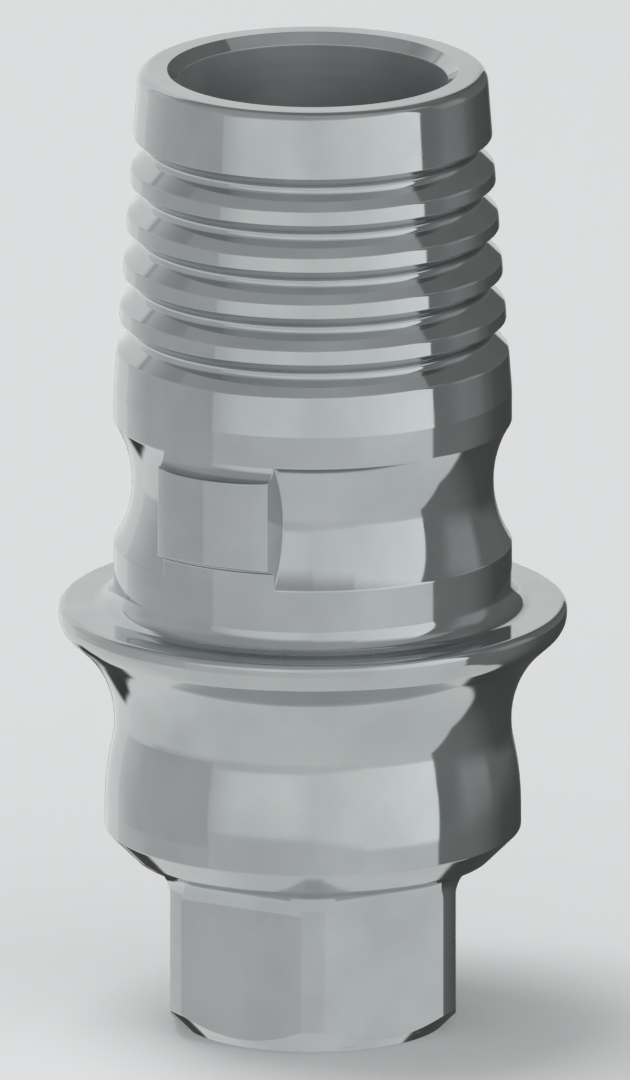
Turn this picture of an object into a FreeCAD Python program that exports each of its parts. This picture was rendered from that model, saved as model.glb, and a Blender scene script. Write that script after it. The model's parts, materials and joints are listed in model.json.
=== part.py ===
import FreeCAD, Part
import math
import os
import Sketcher

# Titanium base: one turned and milled dental abutment.
# A hexagonal foot drops into the implant, a conical seat and a flared collar stand above it,
# and a hollow chimney with retention grooves carries the crown.
# The frame: origin at the centre of the foot's lower face, +Z up along the screw channel,
# hexagon corners on the Y axis, the anti-rotation key turned to one side of -Y. Millimetres.

SIZES = [
    ("bore_radius", 1.143),          # screw channel, wide part
    ("bore_chamfer", 0.09),          # 45 degree break at the mouth of the channel
    ("head_step", 0.268),            # how far the screw head's seat reaches inward
    ("screw_seat_height", 1.832),    # foot to the lower end of the screw head's seat
    ("foot_hole_chamfer", 0.06),     # break at the lower end of the shank hole
    ("hex_across_flats", 2.414),
    ("hex_sides", 6),
    ("hex_height", 1.4705),          # foot to the underside of the seat
    ("corner_relief", 0.132),        # turned corner radius beyond half the flats
    ("foot_chamfer", 0.224),         # 45 degree lead-in turned on the corners
    ("corner_root", 0.182),          # turned fillet above the corners
    ("flat_root", 0.2295),           # milled fillet above each flat
    ("flat_relief", 0.006),          # the milled fillets end this far below the seat
    ("seat_width", 0.238),           # radial width of the conical seat
    ("seat_angle", 45.0),            # seat, measured from the axis
    ("platform_height", 0.1785),     # straight band above the seat
    ("neck_depth", 0.081),           # platform down to the neck, radially
    ("bulge_arc", 2.486),            # convex arc from the platform towards the neck
    ("neck_arc", 0.932),             # concave arc that runs into the neck
    ("flare_angle", 47.5),           # steepest part of the collar's underside, from the axis
    ("flare_run", 0.138),            # straight stretch at that angle
    ("rim_round", 0.203),            # rounding under the rim
    ("rim_height", 0.097),           # rim above that rounding
    ("rim_edge", 0.06),              # rounding of the rim's upper edge
    ("ledge_width", 0.466),          # collar beyond the chimney
    ("ledge_fillet", 0.175),         # collar to chimney
    ("chimney_wall", 0.539),         # screw channel to the straight chimney
    ("waist_offset", 0.524),         # collar to the lower edge of the waist
    ("waist_height", 1.076),
    ("waist_depth", 0.155),
    ("band_height", 0.268),          # straight band between waist and taper
    ("taper_length", 2.778),
    ("taper_angle", 4.27),
    ("top_edge", 0.093),             # rounding of the chimney's upper edge
    ("ring_height", 0.562),          # plain ring above the first groove
    ("groove_pitch", 0.3984),
    ("groove_depth", 0.145),         # to the point where the two flanks would meet
    ("groove_upper_flank", 51.0),    # both flanks are measured from the axis
    ("groove_lower_flank", 45.5),
    ("groove_root", 0.06),           # rounding at the bottom of each groove
    ("groove_count", 5),
    ("key_angle", 30.0),             # key direction, measured from -Y towards -X
    ("key_width", 1.07),
    ("key_projection", 0.168),       # key beyond the straight chimney
    ("key_face_radius", 0.99),       # the key's face is rounded about an upright axis
    ("key_offset", 0.142),           # waist's lower edge to the foot of the key
    ("key_underside", 24.0),         # slope of the key's underside above the level
    ("key_root", 0.122),             # fillet over the key's upper ledge
    ("cutter_margin", 0.3),          # how far cutting outlines run past the surface
]

# Radii and heights that follow from the sizes, written as formulas for the sketches.
# Each formula names sizes and the formulas above it, in braces.
FORMULAS = [
    ("shank_radius", "{bore_radius} - {head_step}"),
    ("half_flats", "{hex_across_flats} / 2"),
    ("corner_radius", "{half_flats} + {corner_relief}"),
    ("seat_inner", "{corner_radius} + {corner_root}"),
    ("flat_top", "{hex_height} - {flat_relief}"),
    ("platform_radius", "{seat_inner} + {seat_width}"),
    ("platform_base", "{hex_height} + {seat_width} / tan({seat_angle} * 1 deg)"),
    ("platform_top", "{platform_base} + {platform_height}"),
    ("sway", "acos(1 - {neck_depth} / ({bulge_arc} + {neck_arc}))"),
    ("inflection_radius", "{platform_radius} - {bulge_arc} * (1 - cos({sway}))"),
    ("inflection_height", "{platform_top} + {bulge_arc} * sin({sway})"),
    ("neck_radius", "{platform_radius} - {neck_depth}"),
    ("neck_level", "{inflection_height} + {neck_arc} * sin({sway})"),
    ("chimney_radius", "{bore_radius} + {chimney_wall}"),
    ("collar_radius", "{chimney_radius} + {ledge_width}"),
    ("flare", "{flare_angle} * 1 deg"),
    ("flare_rise", "(1 - cos({flare}))"),
    ("flare_reach", "{collar_radius} - {neck_radius} - {flare_run} * sin({flare})"),
    ("flare_arc", "{flare_reach} / {flare_rise} - {rim_round}"),
    ("flare_start_radius", "{neck_radius} + {flare_arc} * {flare_rise}"),
    ("flare_start_height", "{neck_level} + {flare_arc} * sin({flare})"),
    ("flare_end_radius", "{flare_start_radius} + {flare_run} * sin({flare})"),
    ("flare_end_height", "{flare_start_height} + {flare_run} * cos({flare})"),
    ("rim_base", "{flare_end_height} + {rim_round} * sin({flare})"),
    ("collar_top", "{rim_base} + {rim_height}"),
    ("waist_base", "{collar_top} + {waist_offset}"),
    ("waist_top", "{waist_base} + {waist_height}"),
    ("waist_arc", "({waist_height} ^ 2 / 4 + {waist_depth} ^ 2) / (2 * {waist_depth})"),
    ("taper_base", "{waist_top} + {band_height}"),
    ("top", "{taper_base} + {taper_length}"),
    ("slant", "{taper_angle} * 1 deg"),
    ("top_radius", "{chimney_radius} - {taper_length} * tan({slant})"),
    ("top_tangent", "{top_edge} * tan((90 deg - {slant}) / 2)"),
    ("key_base", "{waist_base} + {key_offset}"),
    ("key_centre", "{chimney_radius} + {key_projection} - {key_face_radius}"),
    ("half_key", "{key_width} / 2"),
]

document = FreeCAD.newDocument("Abutment")
sheet = document.addObject("Spreadsheet::Sheet", "Sizes")
for row, (alias, value) in enumerate(SIZES, start=1):
    sheet.set(f"A{row}", alias)
    sheet.set(f"B{row}", str(value))
    sheet.setAlias(f"B{row}", alias)
document.recompute()

terms = {alias: f"Sizes.{alias}" for alias, value in SIZES}
for name, formula in FORMULAS:
    terms[name] = "(" + formula.format(**terms) + ")"


def text(formula):
    """A formula over named terms, written out over the cells of the sheet."""
    return formula.format(**terms)


body = document.addObject("PartDesign::Body", "TitaniumBase")
body.Label = "titanium_base"
body.Placement = FreeCAD.Placement()


def origin_plane(role):
    return next(feature for feature in body.Origin.OriginFeatures if feature.Role == role)


def sketch_on(role, name):
    sketch = body.newObject("Sketcher::SketchObject", name)
    sketch.AttachmentSupport = [(origin_plane(role), "")]
    sketch.MapMode = "FlatFace"
    return sketch


def arc_between(start, end, radius, turn):
    """The short arc from start to end, its centre on the left for turn 1 and on the right for -1."""
    chord = end - start
    offset = math.sqrt(radius ** 2 - (chord.Length / 2) ** 2)
    left = FreeCAD.Vector(-chord.y, chord.x, 0).normalize()
    centre = (start + end) / 2 + left * offset * turn
    first, last = (start, end) if turn > 0 else (end, start)
    angles = [math.atan2(point.y - centre.y, point.x - centre.x) for point in (first, last)]
    circle = Part.Circle(centre, FreeCAD.Vector(0, 0, 1), radius)
    return Part.ArcOfCircle(circle, angles[0], angles[1])


def draw(sketch, corners):
    """A closed outline. Each corner is (across, up) or (across, up, radius, turn), where the
    radius and turn give the arc that leaves the corner. Every corner and arc is bound to the sheet."""
    points = []
    for corner in corners:
        across, up = (float(sketch.evalExpression(text(part))) for part in corner[:2])
        points.append(FreeCAD.Vector(across, up, 0))
    starts = []
    ends = []
    for index, corner in enumerate(corners):
        here = points[index]
        after = points[(index + 1) % len(points)]
        if len(corner) == 2:
            edge = sketch.addGeometry(Part.LineSegment(here, after))
            starts.append((edge, 1))
            ends.append((edge, 2))
            continue
        radius = float(sketch.evalExpression(text(corner[2])))
        edge = sketch.addGeometry(arc_between(here, after, radius, corner[3]))
        starts.append((edge, 1 if corner[3] > 0 else 2))
        ends.append((edge, 2 if corner[3] > 0 else 1))
        sketch.addConstraint(Sketcher.Constraint("Radius", edge, radius))
        sketch.renameConstraint(sketch.ConstraintCount - 1, f"radius_{index}")
        sketch.setExpression(f"Constraints.radius_{index}", text(corner[2]))
    for index, (edge, point) in enumerate(starts):
        previous = ends[index - 1]
        sketch.addConstraint(Sketcher.Constraint("Coincident", *previous, edge, point))
        for kind, value, formula in (("DistanceX", points[index].x, corners[index][0]),
                                     ("DistanceY", points[index].y, corners[index][1])):
            label = f"{kind}_{index}"
            sketch.addConstraint(Sketcher.Constraint(kind, -1, 1, edge, point, value))
            sketch.renameConstraint(sketch.ConstraintCount - 1, label)
            sketch.setExpression(f"Constraints.{label}", text(formula))


def turned(kind, name, corners):
    """A revolved feature about the axis: PartDesign::Revolution adds, PartDesign::Groove cuts."""
    sketch = sketch_on("XZ_Plane", name + "Sketch")
    draw(sketch, corners)
    feature = body.newObject(kind, name)
    feature.Profile = sketch
    feature.ReferenceAxis = (sketch, ["V_Axis"])
    feature.Angle = 360
    document.recompute()
    return feature


def raised(name, level, height, corners):
    """A pad that stands on the level given, its outline turned to face the key's direction."""
    sketch = sketch_on("XY_Plane", name + "Sketch")
    turn = FreeCAD.Rotation(FreeCAD.Vector(0, 0, 1), sheet.key_angle)
    sketch.AttachmentOffset = FreeCAD.Placement(FreeCAD.Vector(), turn)
    sketch.setExpression("AttachmentOffset.Base.z", text(level))
    sketch.setExpression("AttachmentOffset.Rotation.Angle", text("180 deg - {key_angle} * 1 deg"))
    draw(sketch, corners)
    feature = body.newObject("PartDesign::Pad", name)
    feature.Profile = sketch
    feature.setExpression("Length", text(height))
    document.recompute()
    return feature


# The turned outline, from the foot's centre up the outside to the top of the chimney.
turned("PartDesign::Revolution", "Blank", [
    ("0", "0"),
    ("{corner_radius} - {foot_chamfer}", "0"),
    ("{corner_radius}", "{foot_chamfer}"),
    ("{corner_radius}", "{hex_height} - {corner_root}", "{corner_root}", -1),
    ("{seat_inner}", "{hex_height}"),
    ("{platform_radius}", "{platform_base}"),
    ("{platform_radius}", "{platform_top}", "{bulge_arc}", 1),
    ("{inflection_radius}", "{inflection_height}", "{neck_arc}", -1),
    ("{neck_radius}", "{neck_level}", "{flare_arc}", -1),
    ("{flare_start_radius}", "{flare_start_height}"),
    ("{flare_end_radius}", "{flare_end_height}", "{rim_round}", 1),
    ("{collar_radius}", "{rim_base}"),
    ("{collar_radius}", "{collar_top} - {rim_edge}", "{rim_edge}", 1),
    ("{collar_radius} - {rim_edge}", "{collar_top}"),
    ("{chimney_radius} + {ledge_fillet}", "{collar_top}", "{ledge_fillet}", -1),
    ("{chimney_radius}", "{collar_top} + {ledge_fillet}"),
    ("{chimney_radius}", "{taper_base}"),
    ("{top_radius} + {top_tangent} * sin({slant})", "{top} - {top_tangent} * cos({slant})",
     "{top_edge}", 1),
    ("{top_radius} - {top_tangent}", "{top}"),
    ("0", "{top}"),
])

# The waist, a shallow round groove that locks the crown's cement.
turned("PartDesign::Groove", "Waist", [
    ("{chimney_radius}", "{waist_base}", "{waist_arc}", -1),
    ("{chimney_radius}", "{waist_top}"),
    ("{chimney_radius} + {cutter_margin}", "{waist_top}"),
    ("{chimney_radius} + {cutter_margin}", "{waist_base}"),
])

# The block that is left standing across the waist, level with the chimney.
raised("KeyBlock", "{waist_base}", "{waist_height}", [
    ("-{half_key}", "{bore_radius}"),
    ("{half_key}", "{bore_radius}"),
    ("{half_key}", "sqrt({chimney_radius} ^ 2 - {half_key} ^ 2)", "{chimney_radius}", 1),
    ("-{half_key}", "sqrt({chimney_radius} ^ 2 - {half_key} ^ 2)"),
])

# The key itself, proud of the chimney, with a rounded face.
raised("Key", "{key_base}", "{waist_height} - {key_offset}", [
    ("-{half_key}", "{bore_radius}"),
    ("{half_key}", "{bore_radius}"),
    ("{half_key}", "{key_centre} + sqrt({key_face_radius} ^ 2 - {half_key} ^ 2)",
     "{key_face_radius}", 1),
    ("-{half_key}", "{key_centre} + sqrt({key_face_radius} ^ 2 - {half_key} ^ 2)"),
])

# The key's upper ledge, with the fillet that runs up to the waist's upper edge.
turned("PartDesign::Groove", "KeyLedge", [
    ("{chimney_radius}", "{waist_top}", "{key_root}", 1),
    ("{chimney_radius} + {key_root}", "{waist_top} - {key_root}"),
    ("{chimney_radius} + {cutter_margin}", "{waist_top} - {key_root}"),
    ("{chimney_radius} + {cutter_margin}", "{waist_top}"),
])

# The key's sloping underside.
turned("PartDesign::Groove", "KeyUnderside", [
    ("{chimney_radius}", "{key_base}"),
    ("{chimney_radius} + {cutter_margin}", "{key_base}"),
    ("{chimney_radius} + {cutter_margin}",
     "{key_base} + {cutter_margin} * tan({key_underside} * 1 deg)"),
])

# The retention grooves, one below the other down the taper, each with a rounded root.
upper_flank = "({groove_upper_flank} * 1 deg)"
lower_flank = "({groove_lower_flank} * 1 deg)"
root_tangent = f"({{groove_root}} / tan(({upper_flank} + {lower_flank}) / 2))"
for number in range(round(sheet.groove_count)):
    drop = f"({{ring_height}} + {number} * {{groove_pitch}})"
    meeting_radius = f"({{top_radius}} + {drop} * tan({{slant}}) - {{groove_depth}})"
    meeting_height = f"({{top}} - {drop} - {{groove_depth}} / tan{upper_flank})"
    reach = "({groove_depth} + {cutter_margin} / 2)"
    turned("PartDesign::Groove", f"RetentionGroove{number + 1}", [
        (f"{meeting_radius} + {root_tangent} * sin{lower_flank}",
         f"{meeting_height} - {root_tangent} * cos{lower_flank}"),
        (f"{meeting_radius} + {reach}", f"{meeting_height} - {reach} / tan{lower_flank}"),
        (f"{meeting_radius} + {reach}", f"{meeting_height} + {reach} / tan{upper_flank}"),
        (f"{meeting_radius} + {root_tangent} * sin{upper_flank}",
         f"{meeting_height} + {root_tangent} * cos{upper_flank}", "{groove_root}", 1),
    ])

# The hexagon: one flat with its root fillet is milled straight through, then repeated round the foot.
flat_sketch = sketch_on("XZ_Plane", "FlatSketch")
draw(flat_sketch, [
    ("{half_flats}", "0"),
    ("{half_flats} + {flat_root} + {cutter_margin}", "0"),
    ("{half_flats} + {flat_root} + {cutter_margin}", "{flat_top}"),
    ("{half_flats} + {flat_root}", "{flat_top}", "{flat_root}", 1),
    ("{half_flats}", "{flat_top} - {flat_root}"),
])
flat = body.newObject("PartDesign::Pocket", "Flat")
flat.Profile = flat_sketch
flat.Midplane = True
flat.setExpression("Length", text("2 * ({seat_inner} + {cutter_margin})"))
document.recompute()
hexagon = body.newObject("PartDesign::PolarPattern", "Hexagon")
hexagon.Originals = [flat]
hexagon.Axis = (origin_plane("Z_Axis"), [""])
hexagon.Angle = 360
hexagon.Occurrences = round(sheet.hex_sides)
body.Tip = hexagon
document.recompute()

# The screw channel: wide from the top down to the head's seat, narrow through the foot.
turned("PartDesign::Groove", "ScrewChannel", [
    ("0", "0"),
    ("{shank_radius} + {foot_hole_chamfer}", "0"),
    ("{shank_radius}", "{foot_hole_chamfer}"),
    ("{shank_radius}", "{screw_seat_height}"),
    ("{bore_radius}", "{screw_seat_height} + {head_step}"),
    ("{bore_radius}", "{top} - {bore_chamfer}"),
    ("{bore_radius} + {bore_chamfer}", "{top}"),
    ("0", "{top}"),
])

# Each feature must have changed the solid in the direction that it is meant to.
ADDING = ("PartDesign::Revolution", "PartDesign::Pad")
volume = 0.0
for feature in body.Group:
    if not feature.isDerivedFrom("PartDesign::Feature"):
        continue
    grown = feature.Shape.Volume > volume
    if grown != (feature.TypeId in ADDING):
        raise ValueError(f"{feature.Name} left the volume at {feature.Shape.Volume:.4f}")
    volume = feature.Shape.Volume

for thing in document.Objects:
    if "Invalid" in thing.State or "Error" in thing.State:
        raise ValueError(f"{thing.Name} is {thing.State}")
if body.Shape.isNull() or not body.Shape.isValid() or len(body.Shape.Solids) != 1:
    raise ValueError("the body is not one valid solid")

os.makedirs("parts", exist_ok=True)
body.Shape.exportStep(f"parts/{body.Label}.step")
box = body.Shape.optimalBoundingBox(False, False)
print(f"{body.Label}: {box.XLength:.3f} x {box.YLength:.3f} x {box.ZLength:.3f} mm, "
      f"volume {body.Shape.Volume:.4f} mm3, {len(body.Shape.Faces)} faces")
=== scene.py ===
# %% [markdown]
# A dental abutment is the small titanium column between an implant in the jaw and the crown on
# top of it. It is turned from one bar, and a hexagon and a key are milled on it. The packed
# solid gives its true size and place. Its facets would show in polished metal, so this lesson
# lays a finer skin over the same shape, finishes it as machined titanium and lights it.

# %% Load the frame
import bpy
import json
import math
import numpy as np
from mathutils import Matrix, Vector


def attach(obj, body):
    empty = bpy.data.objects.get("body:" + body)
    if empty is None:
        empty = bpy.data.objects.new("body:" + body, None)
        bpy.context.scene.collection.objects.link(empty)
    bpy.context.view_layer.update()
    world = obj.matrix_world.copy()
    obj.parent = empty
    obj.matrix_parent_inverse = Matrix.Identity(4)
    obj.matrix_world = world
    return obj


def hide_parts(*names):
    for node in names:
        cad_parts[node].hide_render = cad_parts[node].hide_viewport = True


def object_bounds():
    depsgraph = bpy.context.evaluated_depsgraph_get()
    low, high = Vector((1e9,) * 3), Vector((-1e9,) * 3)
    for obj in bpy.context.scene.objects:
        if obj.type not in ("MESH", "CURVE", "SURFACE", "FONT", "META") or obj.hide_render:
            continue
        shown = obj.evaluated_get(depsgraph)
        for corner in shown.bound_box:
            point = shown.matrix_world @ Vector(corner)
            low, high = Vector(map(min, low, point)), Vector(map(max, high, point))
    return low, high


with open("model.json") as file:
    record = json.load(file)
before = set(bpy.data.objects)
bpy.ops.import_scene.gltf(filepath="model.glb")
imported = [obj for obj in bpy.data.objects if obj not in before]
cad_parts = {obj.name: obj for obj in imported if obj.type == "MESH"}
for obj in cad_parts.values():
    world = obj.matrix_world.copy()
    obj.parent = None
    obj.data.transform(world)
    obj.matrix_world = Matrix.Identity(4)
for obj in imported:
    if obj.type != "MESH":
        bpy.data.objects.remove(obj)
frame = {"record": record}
cad_low, cad_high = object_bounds()
print("CAD box in mm:", [round(side * 1000, 3) for side in cad_high - cad_low])

# %% [markdown]
# The skin is drawn in millimetres, as a maker would note it, and turned to metres at the end.
# Every size could be typed in, but then the skin would part from the solid as soon as one of them
# changed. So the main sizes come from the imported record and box, and the others build on them.

# %% Main sizes from the frame, in millimetres
MM = 0.001
mounts = {mount["name"]: mount for mount in frame["record"]["mounts"]}
channel_radius = mounts["screw_channel"]["dims"]["r_mm"]
shank_radius = mounts["screw_shank_hole"]["dims"]["r_mm"]
chimney_radius = mounts["chimney_band"]["dims"]["r_mm"]
band_height = mounts["chimney_band"]["dims"]["length_mm"]
band_middle = mounts["chimney_band"]["pos_m"][2] / MM
collar_top = mounts["collar_ledge"]["pos_m"][2] / MM
top = cad_high.z / MM
ledge_width = 0.466
collar_radius = chimney_radius + ledge_width
print("channel", channel_radius, "chimney", chimney_radius, "collar", collar_top, "top", round(top, 4))

# %% [markdown]
# A turned shape is an outline spun about its axis. Blender's Screw modifier could spin a drawn
# curve, but polished metal needs more than points: it needs the exact direction that the surface
# faces at each of them. So the outline is made of strokes, lines and arcs that know their heading.

# %% One stroke of an outline
LONGEST_STEP = 0.07         # between rows of the foot, the neck and the collar
UPPER_STEP = 0.2            # the chimney's columns hardly move, so its rows may stand further apart
ARC_STEP = math.radians(3.5)
ROUNDING_STEP = math.radians(12)
EDGE_BREAK = 0.008          # a cutter never leaves a perfectly sharp edge


def heading(vector):
    return math.atan2(vector[1], vector[0])


def turned_by(start, end):
    """The signed turn from one heading to another, between minus and plus half a turn."""
    return (end - start + math.pi) % (2 * math.pi) - math.pi


class Stroke:
    """One line or arc of the outline. turn is 1 where the arc bends left, -1 where it bends right."""

    def __init__(self, start, end, radius=None, turn=0):
        self.start = np.array(start, float)
        chord = np.array(end, float) - self.start
        span = float(np.hypot(*chord))
        self.turn = turn
        self.radius = radius
        if radius is None:
            self.length = span
            self.first = heading(chord)
            return
        half = math.asin(span / 2 / radius)
        self.length = 2 * half * radius
        self.first = heading(chord) - turn * half

    def bend(self, distance):
        return 0.0 if self.radius is None else self.turn * distance / self.radius

    def at(self, distance):
        """The point at a distance along the stroke, and the heading there."""
        bend = self.bend(distance)
        reach = distance if bend == 0 else distance * math.sin(bend / 2) / (bend / 2)
        aim = self.first + bend / 2
        return self.start + reach * np.array([math.cos(aim), math.sin(aim)]), self.first + bend


print("a quarter circle of 1 mm is", round(Stroke((1, 0), (0, 1), 1, 1).length, 4), "mm long")

# %% [markdown]
# The outline is a list of corners. A corner may start an arc, and may be rounded a little. The
# tracer returns stations along it: radius, height and lean, the angle by which the surface faces
# up or down. The lean later gives each point its exact normal, which keeps reflections clean where
# a mesh alone would show flat bands.

# %% The outline tracer
TANGENT = 1e-3              # strokes that meet with a smaller turn than this, in radians, run on


def trace(corners, longest_step):
    """Stations along an open outline. A corner is (radius, height, rounding) or
    (radius, height, rounding, arc radius, turn) for the arc that leaves it."""
    strokes = [Stroke(here[:2], after[:2], *here[3:]) for here, after in zip(corners, corners[1:])]
    trims = [0.0]
    turns = [0.0]
    for index in range(1, len(strokes)):
        before = strokes[index - 1]
        turn = turned_by(before.first + before.bend(before.length), strokes[index].first)
        turns.append(turn)
        trims.append(corners[index][2] * math.tan(abs(turn) / 2))
    trims.append(0.0)
    stations = []
    for index, stroke in enumerate(strokes):
        begin = trims[index]
        run = stroke.length - begin - trims[index + 1]
        if trims[index] > 0:
            previous, angle = stations[-1]
            target = stroke.at(begin)[0]
            curve = Stroke(previous, target)
            curve.turn = math.copysign(1, turns[index])
            curve.first = angle
            curve.radius = corners[index][2]
            swept = abs(turns[index]) * curve.radius
            miss = target - curve.at(swept)[0]
            steps = max(2, math.ceil(abs(turns[index]) / ROUNDING_STEP))
            for step in range(1, steps):
                point, angle = curve.at(swept * step / steps)
                stations.append((point + miss * step / steps, angle))
        steps = max(1, math.ceil(run / longest_step))
        if stroke.radius is not None:
            steps = max(steps, math.ceil(run / stroke.radius / ARC_STEP))
        first = 1 if index and trims[index] == 0 and abs(turns[index]) < TANGENT else 0
        for step in range(first, steps + 1):
            stations.append(stroke.at(begin + run * step / steps))
    return [(point[0], point[1], angle - math.pi / 2) for point, angle in stations]


print("a rounded corner has", len(trace([(0, 0, 0), (1, 0, 0.1), (1, 1, 0)], 1)), "stations")

# %% [markdown]
# The foot drops into the implant. Each of its flats was milled with a cutter that leaves a
# hollow root, and the turned corners between them end in a tighter turned root. Where a flat
# and a turned surface cross, the edge is a curve. A cube with bevels would miss it, and a
# boolean would leave a ragged mesh, so the columns of the mesh slide along that curve.

# %% The outlines of the foot
half_flats = 1.207
corner_radius = 1.339
foot_chamfer = 0.224
corner_root = 0.182
flat_root = 0.2295
flat_relief = 0.006
lowest_row = 0.01
seat_bottom = 1.4705
flat_top = seat_bottom - flat_relief
flat_root_base = flat_top - flat_root
corner_root_base = seat_bottom - corner_root
foot_rim = corner_radius - foot_chamfer
SECTOR = 20                 # columns from the middle of a flat to the middle of a corner
FLAT = 14                   # of them, those on the flat
CREASE_WIDTH = math.radians(0.4)    # between a crease and the column beside it


def corner_outline(height):
    """Radius and lean of the turned surface of the foot."""
    if height < foot_chamfer:
        return foot_rim + height, -math.pi / 4
    if height <= corner_root_base:
        return corner_radius, 0.0
    rise = math.asin(min(1.0, (height - corner_root_base) / corner_root))
    return corner_radius + corner_root * (1 - math.cos(rise)), -rise


def flat_outline(height):
    """Distance from the axis and lean of a milled flat."""
    if height <= flat_root_base:
        return half_flats, 0.0
    rise = math.asin(min(1.0, (height - flat_root_base) / flat_root))
    return half_flats + flat_root * (1 - math.cos(rise)), -rise


def crease_angle(height):
    """How far the flat reaches to each side of its middle, as an angle about the axis."""
    return math.acos(min(1.0, flat_outline(height)[0] / corner_outline(height)[0]))


flat_low = half_flats - foot_rim


def eased(low, high, count, exponent):
    """Heights between two limits, the exponent crowding them towards the first."""
    return [low + (high - low) * (step / count) ** exponent for step in range(count + 1)]


foot_heights = sorted(set(
    eased(lowest_row, flat_low, 3, 1.0) + eased(flat_low, foot_chamfer - EDGE_BREAK, 9, 2.0)
    + [foot_chamfer] + eased(foot_chamfer + EDGE_BREAK, flat_root_base, 10, 1.0)
    + eased(flat_top, flat_root_base, 18, 2.0) + eased(seat_bottom, flat_top, 5, 2.0)))
print("flats from", round(flat_low, 3), "to", round(flat_top, 4), "mm,", len(foot_heights), "rows")

# %% [markdown]
# Above the foot come the conical seat, the platform, a long S-curve into the neck and the
# flared collar. Arcs placed by eye would meet in faint kinks, and polished metal shows every kink.
# So where two of them touch is worked out: the arcs of the S share one heading there, and so do
# the flare and the rim.

# %% The seat, the neck and the collar
seat_inner = corner_radius + corner_root
seat_width = 0.238
platform_round = 0.02
platform_height = 0.1785
platform_radius = seat_inner + seat_width
platform_base = seat_bottom + seat_width
platform_top = platform_base + platform_height
neck_depth = 0.081
bulge_arc = 2.486
neck_arc = 0.932
flare = math.radians(47.5)
flare_run = 0.138
rim_round = 0.203
rim_edge = 0.06             # the rounding of the collar's upper edge
ledge_fillet = 0.175
waist_height = 1.076
waist_depth = 0.155

sway = math.acos(1 - neck_depth / (bulge_arc + neck_arc))
inflection = (platform_radius - bulge_arc * (1 - math.cos(sway)),
              platform_top + bulge_arc * math.sin(sway))
neck = (platform_radius - neck_depth, inflection[1] + neck_arc * math.sin(sway))
flare_arc = ((collar_radius - neck[0] - flare_run * math.sin(flare)) / (1 - math.cos(flare))
             - rim_round)
flare_start = (neck[0] + flare_arc * (1 - math.cos(flare)), neck[1] + flare_arc * math.sin(flare))
flare_end = (flare_start[0] + flare_run * math.sin(flare), flare_start[1] + flare_run * math.cos(flare))
rim_base = flare_end[1] + rim_round * math.sin(flare)
waist_top = band_middle - band_height / 2
waist_base = waist_top - waist_height

lower_outline = trace([
    (seat_inner, seat_bottom, 0),
    (platform_radius, platform_base, platform_round),
    (platform_radius, platform_top, EDGE_BREAK, bulge_arc, 1),
    (*inflection, 0, neck_arc, -1),
    (*neck, 0, flare_arc, -1),
    (*flare_start, 0),
    (*flare_end, 0, rim_round, 1),
    (collar_radius, rim_base, 0),
    (collar_radius, collar_top - rim_edge, 0, rim_edge, 1),
    (collar_radius - rim_edge, collar_top, 0),
    (chimney_radius + ledge_fillet, collar_top, 0, ledge_fillet, -1),
    (chimney_radius, collar_top + ledge_fillet, 0),
    (chimney_radius, waist_base - EDGE_BREAK, 0),
], LONGEST_STEP)
print("seat to waist:", len(lower_outline), "stations, neck radius", round(neck[0], 3))

# %% [markdown]
# The chimney's waist is a shallow round groove, and one block is left standing across it. On
# the block sits the key that stops a crown from turning. Its face is rounded about an upright
# line of its own, so its radius changes from column to column. All columns are worked out at once.

# %% Sizes of the waist and the key
half_key = 0.535
key_offset = 0.142
key_base = waist_base + key_offset
key_face_radius = 0.99
key_projection = 0.168
key_centre = chimney_radius + key_projection - key_face_radius
key_root = 0.122
key_slope = math.tan(math.radians(24))
ledge_height = waist_top - key_root
waist_arc = (waist_height ** 2 / 4 + waist_depth ** 2) / (2 * waist_depth)
FACE = 12                   # columns from the middle of the key to its edge
WALL = 6                    # columns across a side wall
HALF = 6 * SECTOR           # columns round half of the part
WALL_SPREAD = math.radians(2.2)
key_edge_angle = math.asin(half_key / chimney_radius)

key_across = np.append(np.linspace(0, half_key - EDGE_BREAK, FACE), half_key)
key_reach = np.hypot(key_across, key_centre + np.sqrt(key_face_radius ** 2 - key_across ** 2))
print("waist radius", round(chimney_radius - waist_depth, 3), "key reach", round(float(key_reach[0]), 3))

# %% [markdown]
# Going up the key, the outline passes four stretches: the block, the key's sloping underside, its
# face, and the ledge with the fillet above. Boxes joined with a boolean would give the rough shape
# but no fillet. Each stretch is a short formula instead, with a share that runs from 0 to 1.

# %% The stretches of the key
BLOCK = 0
UNDERSIDE = 1
KEY_FACE = 2
LEDGE = 3


def waist_outline(height):
    """Radius and lean of the waist."""
    offset = height - (waist_base + waist_top) / 2
    drop = math.sqrt(waist_arc ** 2 - offset ** 2)
    return chimney_radius - waist_depth + waist_arc - drop, -math.asin(offset / waist_arc)


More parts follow.
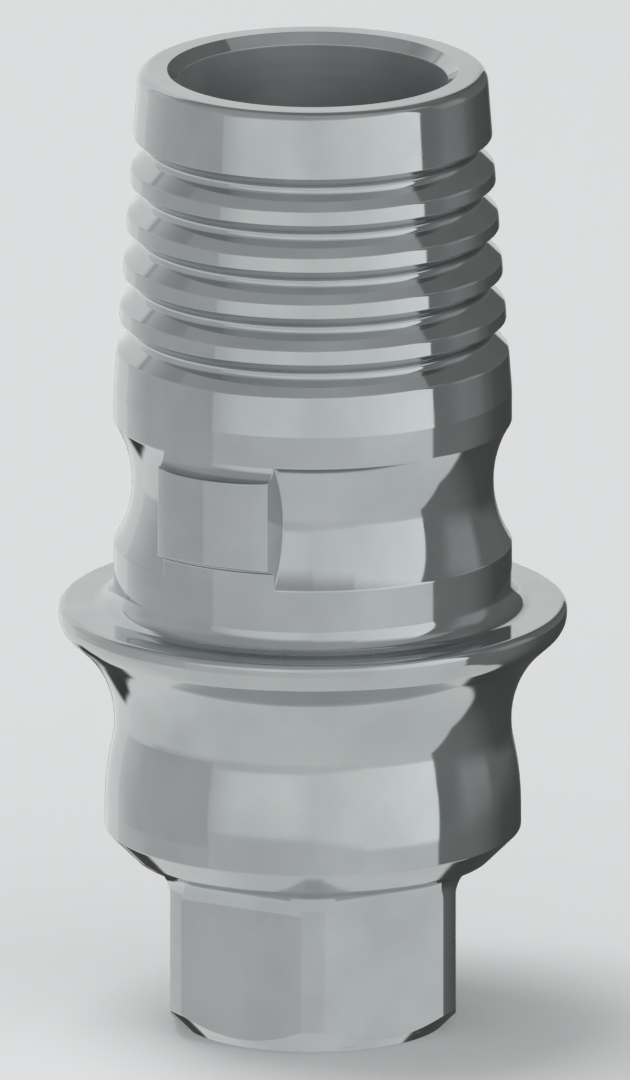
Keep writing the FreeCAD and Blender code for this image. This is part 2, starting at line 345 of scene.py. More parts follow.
def key_outline(stage, share):
    """Radius, height and lean along the key, for each of its columns. stage is one of the four
    stretches above, and share is 0 at its foot and 1 at its top."""
    flat = np.zeros_like(key_reach)
    low = key_base + (key_reach - chimney_radius) * key_slope
    rounding = np.clip((chimney_radius + key_root - key_reach) / key_root, 0, 1)
    fillet_start = np.arcsin(rounding)
    high = waist_top - key_root * np.cos(fillet_start)
    if stage == BLOCK:
        return flat + chimney_radius, flat + waist_base + share * (key_base - waist_base), flat
    if stage == UNDERSIDE:
        radius = chimney_radius + share * (key_reach - chimney_radius)
        return radius, key_base + (radius - chimney_radius) * key_slope, flat - math.atan(1 / key_slope)
    if stage == KEY_FACE:
        return key_reach, low + share * (high - low), flat
    ledge = np.maximum(key_reach - chimney_radius - key_root, 0)
    curve = key_root * (math.pi / 2 - fillet_start)
    walked = share * (ledge + curve)
    bend = fillet_start + np.maximum(walked - ledge, 0) / key_root
    on_ledge = walked < ledge
    radius = np.where(on_ledge, key_reach - walked, chimney_radius + key_root * (1 - np.sin(bend)))
    height = np.where(on_ledge, ledge_height, waist_top - key_root * np.cos(bend))
    return radius, height, np.where(on_ledge, math.pi / 2, math.pi / 2 - bend)


def shares(count, low_support, high_support):
    """Shares of a stretch from 0 to 1, with a close pair at an end where an edge needs one."""
    inner = np.linspace(low_support, 1 - high_support, count)
    return [0.0] * (low_support > 0) + list(inner) + [1.0] * (high_support > 0)


KEY_STAGES = {
    BLOCK: shares(4, 0.07, 0.08),
    UNDERSIDE: shares(3, 0.12, 0.12),
    KEY_FACE: shares(12, 0.012, 0.012),
    LEDGE: shares(9, 0.05, 0.06),
}
underside_stop = key_base + 0.08        # beside the key, the waist's rows split at heights like its own
face_stop = ledge_height - 0.01
WAIST_STOPS = [waist_base, key_base, underside_stop, face_stop, waist_top]
print("rows in the stretches of the key:", [len(stretch) for stretch in KEY_STAGES.values()])

# %% [markdown]
# Above the waist the chimney tapers. Its retention grooves are V-shaped cuts at one pitch, each a
# little narrower in radius than the one below. One could be drawn and copied, but its outer edges
# would miss the taper, so a function works out each groove's corners. The channel inside is bored,
# with a bevel at its mouth and a cone near the bottom for the screw's head.

# %% The taper, the grooves and the channel
taper = math.radians(4.27)
taper_base = waist_top + band_height
taper_round = 0.05          # where the straight band meets the taper
top_radius = chimney_radius - (top - taper_base) * math.tan(taper)
top_edge = 0.093
bore_bevel = 0.09
GROOVES = 5
ring_height = 0.562
groove_pitch = 0.3984
groove_depth = 0.145
upper_flank = math.radians(51)
lower_flank = math.radians(45.5)
groove_root_round = 0.06
rib_round = 0.045
hole_bevel = 0.06
seat_height = mounts["screw_shank_hole"]["dims"]["length_mm"] + hole_bevel
mouth_round = 0.012         # below the bevel at the channel's mouth
channel_round = 0.05        # where the channel meets the screw head's seat
seat_round = 0.02
foot_round = 0.01


def groove(number):
    """The three corners of a retention groove, from its lower edge to its upper edge."""
    drop = ring_height + number * groove_pitch
    edge = (top_radius + drop * math.tan(taper), top - drop)
    root = (edge[0] - groove_depth, edge[1] - groove_depth / math.tan(upper_flank))
    skin_radius = top_radius + (top - root[1]) * math.tan(taper)
    reach = (skin_radius - root[0]) / (1 - math.tan(taper) / math.tan(lower_flank))
    lower = (root[0] + reach, root[1] - reach / math.tan(lower_flank))
    return [(*lower, rib_round), (*root, groove_root_round), (*edge, EDGE_BREAK)]


upper_corners = [(chimney_radius, waist_top + EDGE_BREAK, 0), (chimney_radius, taper_base, taper_round)]
for number in reversed(range(GROOVES)):
    upper_corners += groove(number)
upper_outline = trace(upper_corners + [
    (top_radius, top, top_edge),
    (channel_radius + bore_bevel, top, EDGE_BREAK),
    (channel_radius, top - bore_bevel, mouth_round),
    (channel_radius, seat_height + channel_radius - shank_radius, channel_round),
    (shank_radius, seat_height, seat_round),
    (shank_radius, hole_bevel, foot_round),
    (shank_radius + hole_bevel, 0, foot_round),
    (foot_rim, 0, foot_round),
    (foot_rim + foot_heights[0], foot_heights[0], 0),
], UPPER_STEP)[:-1]
print("taper, grooves and channel:", len(upper_outline), "stations")

# %% [markdown]
# Now the columns. A row of the mesh holds half of the part, from the middle of the key round to
# the far side, and the other half is its mirror image. The columns start evenly spaced, close up
# along the flats, and then move to the edges of the key. Columns that stay put would be simpler,
# but they would cut across those edges, and on a turned surface a column may stand anywhere.

# %% The columns of each row
even_sector = np.linspace(0, math.radians(30), SECTOR + 1)


def round_half(sector):
    """Angles for half of the part from those of one half sector, mirrored at each corner."""
    out = list(sector[:-1])
    for turn in range(1, 6):
        half = sector if turn % 2 == 0 else sector[-1] - sector[::-1]
        out += list(half[:-1] + turn * sector[-1])
    return np.array(out + [math.pi])


def creased_sector(crease):
    """Columns over a flat that reaches crease to each side, with a close pair at its edge."""
    close = min(CREASE_WIDTH, crease / 6)
    return np.concatenate([np.linspace(0, crease - close, FLAT), [crease],
                           np.linspace(crease + close, even_sector[-1], SECTOR - FLAT)])


def smooth(share):
    share = min(1.0, max(0.0, share))
    return share * share * (3 - 2 * share)


def key_angles(radius, foot_angle):
    """Columns about the key where the surface has this radius and the wall stands at foot_angle."""
    face = np.arcsin(key_across / radius)
    wall = np.linspace(face[-1], foot_angle, WALL + 1)[1:]
    close = foot_angle + CREASE_WIDTH
    return np.concatenate([face, wall, np.linspace(close, math.pi, HALF - FACE - WALL)])


even_half = round_half(even_sector)
key_half = key_angles(chimney_radius, key_edge_angle + WALL_SPREAD)
print("columns of half a row:", len(even_half), "even,", len(key_half), "about the key")

# %% [markdown]
# A row carries its points, the normal at each point and the finish of each face above it. Blender
# could work out smooth normals from the faces, but it would blur each edge and bend each
# reflection near it. The lean of the outline gives them exactly.

# %% Points, normals and finishes of a row
TURNED = 0
MILLED = 1
BORED = 2
SHADED_FLANK = 3
rows = []


def normals_from(lean, angles):
    lean = np.broadcast_to(lean, angles.shape)
    return np.stack([np.cos(lean) * np.cos(angles), np.cos(lean) * np.sin(angles), np.sin(lean)], 1)


def unit(vectors):
    return vectors / np.linalg.norm(vectors, axis=1, keepdims=True)


def points_at(radius, angles, height):
    radius = np.broadcast_to(radius, angles.shape)
    height = np.broadcast_to(height, angles.shape)
    return np.stack([radius * np.cos(angles), radius * np.sin(angles), height], 1)


def add_row(points, normals, finish):
    """finish is one finish for all columns, or one for each."""
    rows.append((points, unit(normals), np.broadcast_to(finish, HALF + 1)))


def add_turned(station, angles, finish=TURNED):
    radius, height, lean = station
    add_row(points_at(radius, angles, height), normals_from(lean, angles), finish)


print("a vertical wall's first normal:", normals_from(0.0, even_half)[0])

# %% [markdown]
# The foot comes first: six milled flats with turned corners between them. It could be a hexagonal
# prism with a bevel, but on the real one each flat ends in a hollow sweep and each corner in a
# tighter one. Each row asks which of the two surfaces lies nearer to the axis, column by column.
# The column on the crease between them takes a normal halfway between both.

# %% The rows of the foot
local = np.abs((np.arange(HALF + 1) + SECTOR) % (2 * SECTOR) - SECTOR)
facing = np.round(even_half / math.radians(60)) * math.radians(60)
local_next = np.minimum(local, np.append(local[1:], 0))

for height in foot_heights:
    radius, lean = corner_outline(height)
    distance, flat_lean = flat_outline(height)
    crease = crease_angle(height)
    sector = creased_sector(crease if height < flat_top else crease_angle(flat_top))
    if height < flat_low:
        relaxed = smooth((flat_low - height) / (flat_low - foot_heights[0]))
        sector = (1 - relaxed) * creased_sector(0.0) + relaxed * even_sector
    angles = round_half(sector)
    turned_normals = normals_from(lean, angles)
    if height == foot_chamfer:
        turned_normals = unit(turned_normals + normals_from(-math.pi / 4, angles))
    flat_normals = np.stack([math.cos(flat_lean) * np.cos(facing), math.cos(flat_lean) * np.sin(facing),
                             np.full(HALF + 1, math.sin(flat_lean))], 1)
    cut = crease > 0 and height <= flat_top
    on_flat = (local < FLAT) & cut
    on_crease = (local == FLAT) & cut
    radii = np.where(on_flat | on_crease, distance / np.cos(angles - facing), radius)
    normals = np.where(on_flat[:, None], flat_normals, turned_normals)
    normals = np.where(on_crease[:, None], flat_normals + turned_normals, normals)
    milled = (local_next < FLAT) & (flat_low <= height <= flat_top)
    add_row(points_at(radii, angles, height), normals, np.where(milled, MILLED, TURNED))
    if height == flat_top:
        shoulder = np.where(on_flat[:, None], turned_normals - np.array([0.0, 0.0, 1.0]), normals)
        add_row(points_at(radius, angles, height), shoulder, TURNED)
seat_half = angles          # where the last row's columns stand, for the rows above to start from
foot_rows = len(rows)
print("foot:", foot_rows, "rows")

# %% [markdown]
# The seat, the platform, the neck and the flared collar are plain turned surfaces. They could be
# a mesh of their own, but then a seam would run round the foot. So they carry on the foot's
# columns, and each row is a circle at a station of the outline. Only the columns move: they leave
# the corners of the foot on the seat, and reach the edges of the key by the ledge.

# %% The rows of the seat, the neck and the collar
def collar_angles(height):
    """The foot's columns, eased over the seat to even ones and up to the ledge to the key's."""
    on_seat = smooth((height - seat_bottom) / seat_width)
    on_collar = smooth((height - platform_base) / (collar_top - platform_base))
    return seat_half + on_seat * (even_half - seat_half) + on_collar * (key_half - even_half)


for station in lower_outline[1:]:
    add_turned(station, collar_angles(station[1]))
print("collar:", len(rows) - foot_rows, "rows")

# %% [markdown]
# The waist is a groove turned round the chimney, and the key is what the lathe's work left there
# for the mill. Cutting the key out with a boolean would leave long, thin faces. Here each row
# crosses the key's face, comes down its side wall and runs on round the waist. A close pair of
# points beside each edge keeps the edge crisp, with a narrow break that catches the light.

# %% The rows of the waist and its key
LEAST_WIDTH = 1e-9          # stands in for the side wall's width at both ends, where it has none
WIDEST_BREAK = 0.25         # the most that an edge may take, as a share of that width


def key_columns(stage, share):
    """Points and normals over the block and the key, one for each of their columns."""
    radius, height, lean = key_outline(stage, share)
    angles = np.arcsin(key_across / radius)
    if stage == KEY_FACE:
        facing = np.arcsin(key_across / key_face_radius)
        return points_at(radius, angles, height), normals_from(lean, facing)
    return points_at(radius, angles, height), normals_from(lean, angles)


across = np.array([[0.0, 1.0, 0.0]])
for stage, stretch in KEY_STAGES.items():
    for share in stretch if stage == BLOCK else stretch[1:]:    # where one ends, the next begins
        face_points, face_normals = key_columns(stage, share)
        if share == 1.0 and stage < LEDGE:
            face_normals = unit(face_normals + key_columns(stage + 1, 0.0)[1])
        height = WAIST_STOPS[stage] + share * (WAIST_STOPS[stage + 1] - WAIST_STOPS[stage])
        radius, lean = waist_outline(height)
        at_end = height in (waist_base, waist_top)
        lean = lean / 2 if at_end else lean
        foot_angle = math.asin(half_key / radius)
        waist_angles = key_angles(radius, foot_angle)[FACE + WALL:]
        waist_points = points_at(radius, waist_angles, height)
        waist_normals = normals_from(lean, waist_angles)
        width = float(np.linalg.norm(waist_points[0] - face_points[-1]))
        close = min(EDGE_BREAK / max(width, LEAST_WIDTH), WIDEST_BREAK)
        steps = np.concatenate([[close], np.linspace(close, 1 - close, WALL - 1)[1:]])[:, None]
        wall_points = face_points[-1] + steps * (waist_points[0] - face_points[-1])
        wall_normals = np.repeat(across, len(steps), axis=0)
        if not at_end:
            face_normals[-1:] = unit(face_normals[-1:] + across)
            waist_normals[:1] = unit(waist_normals[:1] + across)
        finish = np.full(HALF + 1, TURNED)
        finish[:FACE + WALL] = MILLED
        finish[:FACE] = TURNED if stage == BLOCK else MILLED
        add_row(np.concatenate([face_points, wall_points, waist_points]),
                np.concatenate([face_normals, wall_normals, waist_normals]), finish)
print("waist and key done,", len(rows), "rows so far")

# %% [markdown]
# The rest is turned again: the taper with its grooves outside, then over the rim and down the
# channel inside, and out under the foot. One outline serves for all of it, so the rim, the bevel
# and the screw's seat join with no seam. Here a row's place and lean tell which tool cut it, and which
# flanks under the ribs get painted shade.

# %% The rows of the taper, the grooves and the channel
BORED_WITHIN = channel_radius + 0.1 * bore_bevel        # the boring bar's finish ends at the bevel
INSIDE_WITHIN = channel_radius + 0.5 * bore_bevel       # and the columns start to ease within it
RIB_LEAN = -math.radians(17)        # what leans down more than this above the band is under a rib, and gets painted shade


def upper_angles(radius, height):
    """The key's columns outside, eased back to even ones down the channel."""
    inside = radius < INSIDE_WITHIN or height < hole_bevel
    return key_half + (smooth(1 - height / top) if inside else 0.0) * (even_half - key_half)


def upper_finish(radius, height, lean):
    """The finish at this station: the one its tool leaves, or painted shade on a flank under a rib."""
    if radius < BORED_WITHIN and height > hole_bevel / 2:
        return BORED
    if radius > channel_radius + bore_bevel and height > taper_base and lean < RIB_LEAN:
        return SHADED_FLANK
    return TURNED


for station in upper_outline:
    add_turned(station, upper_angles(*station[:2]), upper_finish(*station))
print(len(rows), "rows of", 2 * HALF, "columns")

# %% [markdown]
# The half rows are mirrored and turned so that the key faces the way it does on the solid. A
# Mirror modifier could do the first, but it would mirror no custom normals.

# %% The whole rows
KEY_DIRECTION = math.radians(240)


def whole(half, mirror):
    """A full row from a half row: the other side is the half row read backwards, mirrored."""
    return np.concatenate([half, half[-2:0:-1] * mirror])


along = np.array([math.cos(KEY_DIRECTION), math.sin(KEY_DIRECTION), 0.0])
sideways = np.array([-along[1], along[0], 0.0])
to_frame = np.stack([along, sideways, [0.0, 0.0, 1.0]])
mirror = np.array([1.0, -1.0, 1.0])
grid = np.stack([whole(points, mirror) for points, _, _ in rows]) @ to_frame
grid_normals = np.stack([whole(normals, mirror) for _, normals, _ in rows]) @ to_frame
columns = grid.shape[1]
print("the grid holds", grid.shape[0], "rows of", columns, "points")

# %% [markdown]
# The grid becomes one closed mesh. Where columns or rows meet in a point, they share one vertex, so
# the mesh has no gaps and no faces without area. Merging by distance afterwards would do that too,
# but it could also join points that only lie close together, such as those beside an edge.

# %% Vertices and faces
SAME_POINT = 1e-7           # in millimetres, far below any distance that is meant
index_of = np.zeros(grid.shape[:2], int)
vertices = []
vertex_normals = []
for row in range(len(rows)):
    for step in range(columns):
        column = (SECTOR + step) % columns          # a corner, where columns never meet
        point = grid[row, column]
        if row and np.abs(point - grid[row - 1, column]).max() < SAME_POINT:
            index_of[row, column] = index_of[row - 1, column]
        elif step and np.abs(point - grid[row, column - 1]).max() < SAME_POINT:
            index_of[row, column] = index_of[row, column - 1]
        else:
            index_of[row, column] = len(vertices)
            vertices.append(point * MM)
            vertex_normals.append(grid_normals[row, column])

faces = []
face_finish = []
for row in range(len(rows)):
    after = (row + 1) % len(rows)
    for column in range(columns):
        beside = (column + 1) % columns
        corners = [index_of[row, column], index_of[row, beside],
                   index_of[after, beside], index_of[after, column]]
        corners = list(dict.fromkeys(int(corner) for corner in corners))
        if len(corners) > 2:
            faces.append(corners)
            face_finish.append(int(rows[row][2][min(column, columns - 1 - column)]))
print(len(vertices), "vertices,", len(faces), "faces")

# %% [markdown]
# The exact normals go on last, once Blender has checked the mesh. The finished skin could simply
# stand over the solid, but both would show at the same place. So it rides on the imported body, and
# stands in for its plain solid in every picture.

# %% The skin
SURFACE = "machined_titanium_surface"
mesh = bpy.data.meshes.new(SURFACE)
mesh.from_pydata(vertices, [], faces)
mesh.polygons.foreach_set("material_index", face_finish)
mesh.polygons.foreach_set("use_smooth", [True] * len(faces))
mesh.validate()
mesh.normals_split_custom_set_from_vertices([tuple(normal) for normal in vertex_normals])
surface = bpy.data.objects.new(SURFACE, mesh)
bpy.context.collection.objects.link(surface)
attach(surface, "root")
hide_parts("titanium_base")
print("the skin measures", np.round(np.ptp(np.array(vertices), axis=0) / MM, 3), "mm")

# %% [markdown]
# Titanium grade 5, an alloy with aluminium and vanadium, is a grey metal that looks darker than
# steel and a little cool. It could be painted with one flat grey, but cut metal is never quite
# even, and the eye knows metal by how its reflections change. So each finish below varies a
# little in colour, dullness and height, in patterns that follow the tool that cut it.

# %% Colours and nodes
TITANIUM_COLOURS = ("b7bcbc", "bfc4c4")     # a cool mid grey, a shade darker in patches
BORE_PAINTED_LIGHT_COLOURS = ("c8cdcd", "d0d5d5")         # painted light: a paler grey that lifts the shade in the channel
FLANK_PAINTED_SHADE_COLOURS = ("a4a9a9", "acb1b1")        # painted shade: a darker grey on the flank under each rib
MARKS_PER_MM = 14           # real feed marks lie 0.02 mm apart, drawn coarser so they show at all
PATCHES_PER_MM = 1.6        # handling and washing leave faint patches of about half a millimetre
PATCH_RANGE = (0.35, 0.65)  # between these levels of its noise, a patch goes from dark to light
BOTH_RANGE = (0.7, 1.3)     # and between these levels of both noises, the metal grows duller
LINE_SQUEEZE = 0.06         # lets a milled line run about 17 times as far as it is wide


def linear(code):
    """An sRGB hex colour as linear red, green, blue and full alpha."""
    parts = [int(code[place:place + 2], 16) / 255 for place in (0, 2, 4)]
    return tuple(part / 12.92 if part <= 0.04045 else ((part + 0.055) / 1.055) ** 2.4
                 for part in parts) + (1.0,)


def add_node(tree, kind, settings=None, **inputs):
    """One node with its settings, its socket values and its links."""
    node = tree.nodes.new(kind)
    for name, value in (settings or {}).items():
        setattr(node, name, value)
    for name, value in inputs.items():
        socket = node.inputs[name.replace("_", " ")]
        if isinstance(value, bpy.types.NodeSocket):
            tree.links.new(value, socket)
        else:
            socket.default_value = value
    return node


def new_tree(owner):
    owner.use_nodes = True
    owner.node_tree.nodes.clear()
    return owner.node_tree


def vector_step(tree, operation, vector, factors=None):
    """Vector arithmetic on a socket, with the factors in the second input where there are any."""
    node = add_node(tree, "ShaderNodeVectorMath", {"operation": operation}, Vector=vector)
    if factors is not None:
        node.inputs[1].default_value = factors
    return node


print("colour of the metal, linear:", [round(part, 3) for part in linear(TITANIUM_COLOURS[1])])

# %% [markdown]
# A lathe leaves rings, a milling cutter leaves short upright lines, and a boring bar leaves deeper
# rings in the channel. The channel also gets a paler grey as painted light. The flank under each rib
# gets a darker grey as painted shade, and is a touch duller too. Each finish could have a recipe of
# its own, but one serves all four and keeps them one metal. Object coordinates in millimetres are
# squeezed so that a plain noise turns into rings or lines. A soft, wide noise adds the patches. The
# marks drive a very shallow bump, and both drive the roughness.

# %% The recipe for cut titanium
def ring_coordinates(tree, position):
    """Distance from the axis and height, so that a pattern runs round the part in rings."""
    flat = vector_step(tree, "MULTIPLY", position, (1.0, 1.0, 0.0))
    distance = vector_step(tree, "LENGTH", flat.outputs["Vector"])
    split = add_node(tree, "ShaderNodeSeparateXYZ", Vector=position)
    joined = add_node(tree, "ShaderNodeCombineXYZ", X=distance.outputs["Value"], Y=split.outputs["Z"])
    return joined.outputs["Vector"]


def line_coordinates(tree, position):
    """Height counts little here, so that a pattern runs up and down in short lines."""
    return vector_step(tree, "MULTIPLY", position, (1.0, 1.0, LINE_SQUEEZE)).outputs["Vector"]


def titanium(name, colours, coordinates, roughness, mark_depth):
    """Cut titanium. roughness is its lowest and highest, mark_depth the height of its marks in mm."""
    material = bpy.data.materials.new(name)
    tree = new_tree(material)
    place = add_node(tree, "ShaderNodeTexCoord")
    position = vector_step(tree, "MULTIPLY", place.outputs["Object"], (1 / MM,) * 3).outputs["Vector"]
    marks = add_node(tree, "ShaderNodeTexNoise", Vector=coordinates(tree, position),
                     Scale=MARKS_PER_MM, Detail=2.0, Roughness=0.6)
    patches = add_node(tree, "ShaderNodeTexNoise", Vector=position, Scale=PATCHES_PER_MM, Detail=3.0)
    both = add_node(tree, "ShaderNodeMath", {"operation": "ADD"})
    tree.links.new(marks.outputs["Fac"], both.inputs[0])
    tree.links.new(patches.outputs["Fac"], both.inputs[1])
    dullness = add_node(tree, "ShaderNodeMapRange", Value=both.outputs["Value"],
                        From_Min=BOTH_RANGE[0], From_Max=BOTH_RANGE[1],
                        To_Min=roughness[0], To_Max=roughness[1])
    tint = add_node(tree, "ShaderNodeValToRGB", Fac=patches.outputs["Fac"])
    for stop, level, colour in zip(tint.color_ramp.elements, PATCH_RANGE, colours):
        stop.position = level
        stop.color = linear(colour)
    bump = add_node(tree, "ShaderNodeBump", Height=marks.outputs["Fac"], Strength=1.0,
                    Distance=mark_depth * MM)
    shader = add_node(tree, "ShaderNodeBsdfPrincipled", Base_Color=tint.outputs["Color"], Metallic=1.0,
                      Roughness=dullness.outputs["Result"], Normal=bump.outputs["Normal"])
    add_node(tree, "ShaderNodeOutputMaterial", Surface=shader.outputs["BSDF"])
    return material


print("marks", round(1 / MARKS_PER_MM, 2), "mm and patches", round(1 / PATCHES_PER_MM, 2), "mm apart")

# %% [markdown]
# The four finishes differ mostly in how clearly they mirror the studio, for that is what sets such
# surfaces apart. One finish for all of it would be simpler, but the channel would then shine like
# the outside. The slots stand in the order that TURNED, MILLED, BORED and SHADED_FLANK number them.

# %% The four finishes
FINE_MARKS = 0.00005        # millimetres: hardly any depth, so that the reflections stay calm
DEEP_MARKS = 0.0004

# The turned finish is close to a mirror, so the studio shows in it with clear edges.
mesh.materials.append(titanium("titanium_grade_5_turned", TITANIUM_COLOURS, ring_coordinates,
                               (0.05, 0.09), FINE_MARKS))
# The milled flats are a touch duller, so they read as separate facets.
mesh.materials.append(titanium("titanium_grade_5_milled", TITANIUM_COLOURS, line_coordinates,
                               (0.06, 0.1), FINE_MARKS))
# The bore is matt, and a paler grey is painted in it as light that lifts the channel's shade, so the
# channel looks like a soft grey well.
mesh.materials.append(titanium("titanium_grade_5_bored", BORE_PAINTED_LIGHT_COLOURS, ring_coordinates,
                               (0.46, 0.56), DEEP_MARKS))
# The flanks under the ribs are a touch duller. A darker grey is painted on them as shade, and it draws
# the thin dark line under each rib.
mesh.materials.append(titanium("titanium_grade_5_rubbed", FLANK_PAINTED_SHADE_COLOURS, ring_coordinates,
                               (0.1, 0.16), FINE_MARKS))
print("finishes:", [material.name for material in mesh.materials])

# %% [markdown]
# Polished metal has no look of its own: it shows the room. A product photographer hangs cards and
# panels round such a part. This tent does the same, with one big bright panel in front, a dimmer
# wall at its left and a black flag at its right that draws the part's dark edge. The cards shine
# by themselves, because a shining card costs one ray where a lit one costs many.

# %% The paint of the cards
card_paint = bpy.data.materials.new("lit_studio_card")
tree = new_tree(card_paint)
level = add_node(tree, "ShaderNodeVertexColor", {"layer_name": "light"})
glow = add_node(tree, "ShaderNodeEmission", Color=level.outputs["Color"])
gap = add_node(tree, "ShaderNodeBsdfTransparent")
blend = add_node(tree, "ShaderNodeMixShader", Fac=level.outputs["Alpha"])
tree.links.new(gap.outputs["BSDF"], blend.inputs[1])
tree.links.new(glow.outputs["Emission"], blend.inputs[2])
add_node(tree, "ShaderNodeOutputMaterial", Surface=blend.outputs["Shader"])
print("the cards are painted with", card_paint.name)

# %% [markdown]
# Each card is a piece of a sphere round the part, so that an angle seen in a reflection is an angle
# on the tent. Flat panels would do in a studio, but their edges would be harder to place. An edge
# may slant or fade, and the light may change on the way across, as on a panel lit from one side.

# %% One card of the tent
TENT_RADIUS = 300 * MM
CARD_STEP = 2               # degrees from point to point of a card
HEIGHT_STEPS = 48


def on_tent(azimuth, elevation, radius):
    """A point of the tent. Azimuth 0 is the camera's side, and it grows to the camera's right."""
    azimuth = math.radians(azimuth)
    elevation = math.radians(elevation)
    return (radius * math.cos(elevation) * math.sin(azimuth),
            -radius * math.cos(elevation) * math.cos(azimuth), radius * math.sin(elevation))


def spread(values, share):
    """The value at a share of the way across, from values given at even steps."""
    return float(np.interp(share, np.linspace(0, 1, len(values)), values))


def edge_fade(distances, widths):
    """How much of a card's light is left at these distances from its two edges."""
    return math.prod(1.0 if width == 0 else smooth(distance / width)
                     for distance, width in zip(distances, widths))


def card(name, azimuths, lows, highs, light, side_fade=(0, 0), height_fade=(0, 0), depth=0):
    """A curved card of the tent. Angles are in degrees. lows and highs are the heights of its edges
    and light its levels, all at even steps from left to right. depth brings it nearer, as a share."""
    across_steps = math.ceil((azimuths[1] - azimuths[0]) / CARD_STEP)
    points = []
    levels = []
    for row in range(HEIGHT_STEPS + 1):
        for step in range(across_steps + 1):
            share = step / across_steps
            azimuth = azimuths[0] + share * (azimuths[1] - azimuths[0])
            low, high = spread(lows, share), spread(highs, share)
            elevation = low + row / HEIGHT_STEPS * (high - low)
            points.append(on_tent(azimuth, elevation, TENT_RADIUS * (1 - depth)))
            fade = edge_fade((azimuth - azimuths[0], azimuths[1] - azimuth), side_fade)
            fade *= edge_fade((elevation - low, high - elevation), height_fade)
            level = spread(light, share)
            levels += [level, level, level, fade]
    width = across_steps + 1
    quads = [(i + j * width, i + 1 + j * width, i + 1 + (j + 1) * width, i + (j + 1) * width)
             for j in range(HEIGHT_STEPS) for i in range(across_steps)]
    card_mesh = bpy.data.meshes.new(name)
    card_mesh.from_pydata(points, [], quads)
    shade = card_mesh.color_attributes.new("light", "FLOAT_COLOR", "POINT")
    shade.data.foreach_set("color", levels)
    card_mesh.materials.append(card_paint)
    piece = bpy.data.objects.new(name, card_mesh)
    bpy.context.collection.objects.link(piece)
    piece.visible_camera = False


print("ahead, the tent is at", [round(side / MM) for side in on_tent(0, 0, TENT_RADIUS)], "mm")

# %% [markdown]
# Each bright or dark band that the part shows in the photograph was traced back to the direction
# it mirrors, and a card was hung there. A ready-made picture of a studio could light the part as
# well, but its bands would fall elsewhere. Where two cards overlap, the nearer one covers the other.

# %% The tent
# The ceiling is even in front and dark towards the back.
card("ceiling_front", (-112, 103), (15,), (90,), (0.45, 0.47, 0.5, 0.42))
card("ceiling_back", (103, 248), (15,), (90,), (0.2, 0.24, 0.25, 0.4))
# The left wall is dimmer than the front, and its lower part passes light from a pale table.
card("wall_left", (-137, -60), (-14.6,), (46,), (0.79, 0.59, 0.55, 0.55), (3, 0), (0, 24), depth=0.02)
card("low_left", (-200, -85), (-70,), (-15,), (0.6, 0.9, 0.82), (0, 20), (30, 1.5), depth=0.01)
# The bright front panel is brightest at its right end, where it stops at the black flag.
card("panel_front", (-60, 0), (-10.4,), (32, 40, 46, 46), (0.66, 0.84, 0.87, 0.91, 0.83),
     height_fade=(5, 22), depth=0.04)
card("panel_middle", (0, 28), (-10.4, -14.3), (50,), (0.82, 0.91), height_fade=(4, 22), depth=0.04)
card("panel_right", (28, 74), (-13.8,), (56,), (0.9, 1.02, 1.13), height_fade=(0.5, 22), depth=0.04)
card("panel_foot", (-112, 28), (-20,), (-8,), (0.65, 0.65, 0.67, 0.71, 0.75),
     (10, 0), (5, 0), depth=0.015)
# The flag, with the dim strip that a lamp behind it leaves on it, and its dark foot.
card("flag", (74, 166), (-16,), (46,), (0.23, 0.26, 0.2, 0.18, 0.13), height_fade=(0, 10), depth=0.045)
card("flag_strip", (85, 121), (-14,), (34,), (0.36, 0.39), (12, 8), (16, 12), depth=0.05)
card("flag_foot", (74, 190), (-20, -36, -42, -46, -47, -46), (-8, -8, -4, -5, -8),
     (0.24, 0.22, 0.1, 0.07, 0.07), (0, 8), (2, 9), depth=0.055)
card("flag_shadow", (177, 216), (-40, -35), (-21, -25), (0.08, 0.05), (4, 5), (3, 3), depth=0.06)
# The wall behind the part is seen only in its outermost rims.
card("wall_back", (166, 224), (-9, -9, -22, -22, -20), (46,), (0.65, 0.85, 0.84, 0.9),
     (3, 3), (2, 6), depth=0.05)
print("the tent stands", round(TENT_RADIUS / MM), "mm from the part")

# %% [markdown]
# The floor is a sheet of pale paper, large enough to fill the picture. A soft lamp overhead lights
# the paper and lets the part drop its shadow on it. The metal could mirror both, but the tent
# already holds all that should be mirrored, so they are hidden from it. Below the tent, a plain
# even light stands for a bright table, and the foot's lower edges mirror it.

# %% The floor and its lamp
FLOOR_HALF = 60 * MM
LAMP_SIZE = 90 * MM
LAMP_PLACE = (-45 * MM, 20 * MM, 190 * MM)
LAMP_WATTS = 0.13
TABLE_LIGHT = 0.775
floor_mesh = bpy.data.meshes.new("floor")
floor_corners = [(-FLOOR_HALF, -FLOOR_HALF, 0), (FLOOR_HALF, -FLOOR_HALF, 0),
                 (FLOOR_HALF, FLOOR_HALF, 0), (-FLOOR_HALF, FLOOR_HALF, 0)]
floor_mesh.from_pydata(floor_corners, [], [(0, 1, 2, 3)])
floor = bpy.data.objects.new("floor", floor_mesh)
bpy.context.collection.objects.link(floor)
floor.visible_glossy = False
floor_paint = bpy.data.materials.new("pale_floor_paper")
tree = new_tree(floor_paint)
paper = add_node(tree, "ShaderNodeBsdfDiffuse", Color=linear("f4f5f6"))
add_node(tree, "ShaderNodeOutputMaterial", Surface=paper.outputs["BSDF"])
floor_mesh.materials.append(floor_paint)

lamp_data = bpy.data.lights.new("floor_lamp", "AREA")
lamp_data.size = LAMP_SIZE
lamp_data.energy = LAMP_WATTS
lamp = bpy.data.objects.new("floor_lamp", lamp_data)
bpy.context.collection.objects.link(lamp)
lamp.location = LAMP_PLACE
lamp.rotation_mode = "QUATERNION"
lamp.rotation_quaternion = lamp.location.to_track_quat("Z", "Y")
lamp.visible_glossy = False

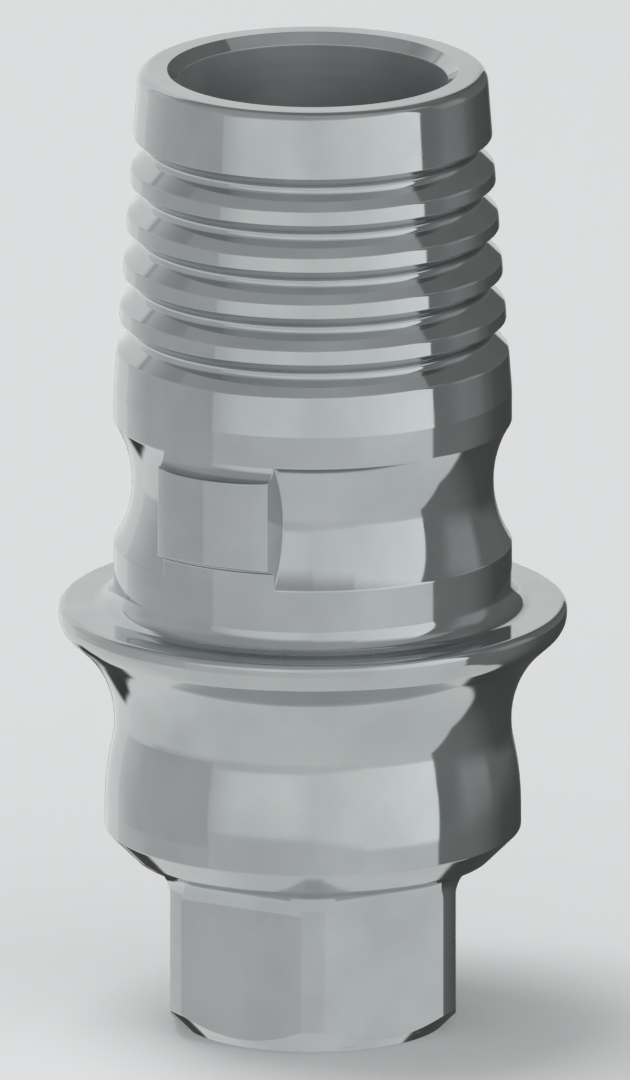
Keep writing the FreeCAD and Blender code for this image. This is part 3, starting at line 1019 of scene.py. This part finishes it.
world = bpy.data.worlds.new("studio")
bpy.context.scene.world = world
tree = new_tree(world)
table = add_node(tree, "ShaderNodeBackground", Color=(TABLE_LIGHT,) * 3 + (1.0,), Strength=1.0)
add_node(tree, "ShaderNodeOutputWorld", Surface=table.outputs["Background"])
print("the lamp hangs", round(lamp.location.z / MM), "mm above the paper")

# %% [markdown]
# The photograph has no perspective: the part's upright edges stay parallel and each ring has the
# same roundness. A camera with a long lens would come close to that, but the rings would still
# differ a little, so this one is parallel. It looks down by 15 degrees, which the ratio of each
# ring's height to its width gives, and a corner of the hexagon faces it.

# %% The camera
PHOTO_WIDTH = 630
PHOTO_HEIGHT = 1080
PIXEL = 0.00845             # millimetres of the object in one pixel of the photograph
AXIS_X = 312.9              # where the part's axis stands in the photograph
FOOT_Y = 1018.1             # where the middle of the foot's lower face stands
CAMERA_HEIGHT_ANGLE = math.radians(15)
CAMERA_DISTANCE = 60 * MM   # a parallel picture looks the same from any distance
NEAREST = 1 * MM
FARTHEST = 1000 * MM

camera_data = bpy.data.cameras.new("studio_camera")
camera_data.type = "ORTHO"
camera_data.ortho_scale = PHOTO_HEIGHT * PIXEL * MM
camera_data.clip_start = NEAREST
camera_data.clip_end = FARTHEST
camera = bpy.data.objects.new("studio_camera", camera_data)
bpy.context.collection.objects.link(camera)
bpy.context.scene.camera = camera
target = Vector(((PHOTO_WIDTH / 2 - AXIS_X) * PIXEL * MM, 0,
                 (FOOT_Y - PHOTO_HEIGHT / 2) * PIXEL * MM / math.cos(CAMERA_HEIGHT_ANGLE)))
back = Vector((0, -math.cos(CAMERA_HEIGHT_ANGLE), math.sin(CAMERA_HEIGHT_ANGLE)))
camera.location = target + back * CAMERA_DISTANCE
camera.rotation_mode = "QUATERNION"
camera.rotation_quaternion = (-back).to_track_quat("-Z", "Y")
print("camera aims at a height of", round(target.z / MM, 3), "mm")

# %% [markdown]
# Last, the picture keeps its plain colours: the Standard view shows each tone as it was set,
# where a film-like view would wash out the greys of the metal.

# %% Colours of the picture
bpy.context.scene.view_settings.view_transform = "Standard"
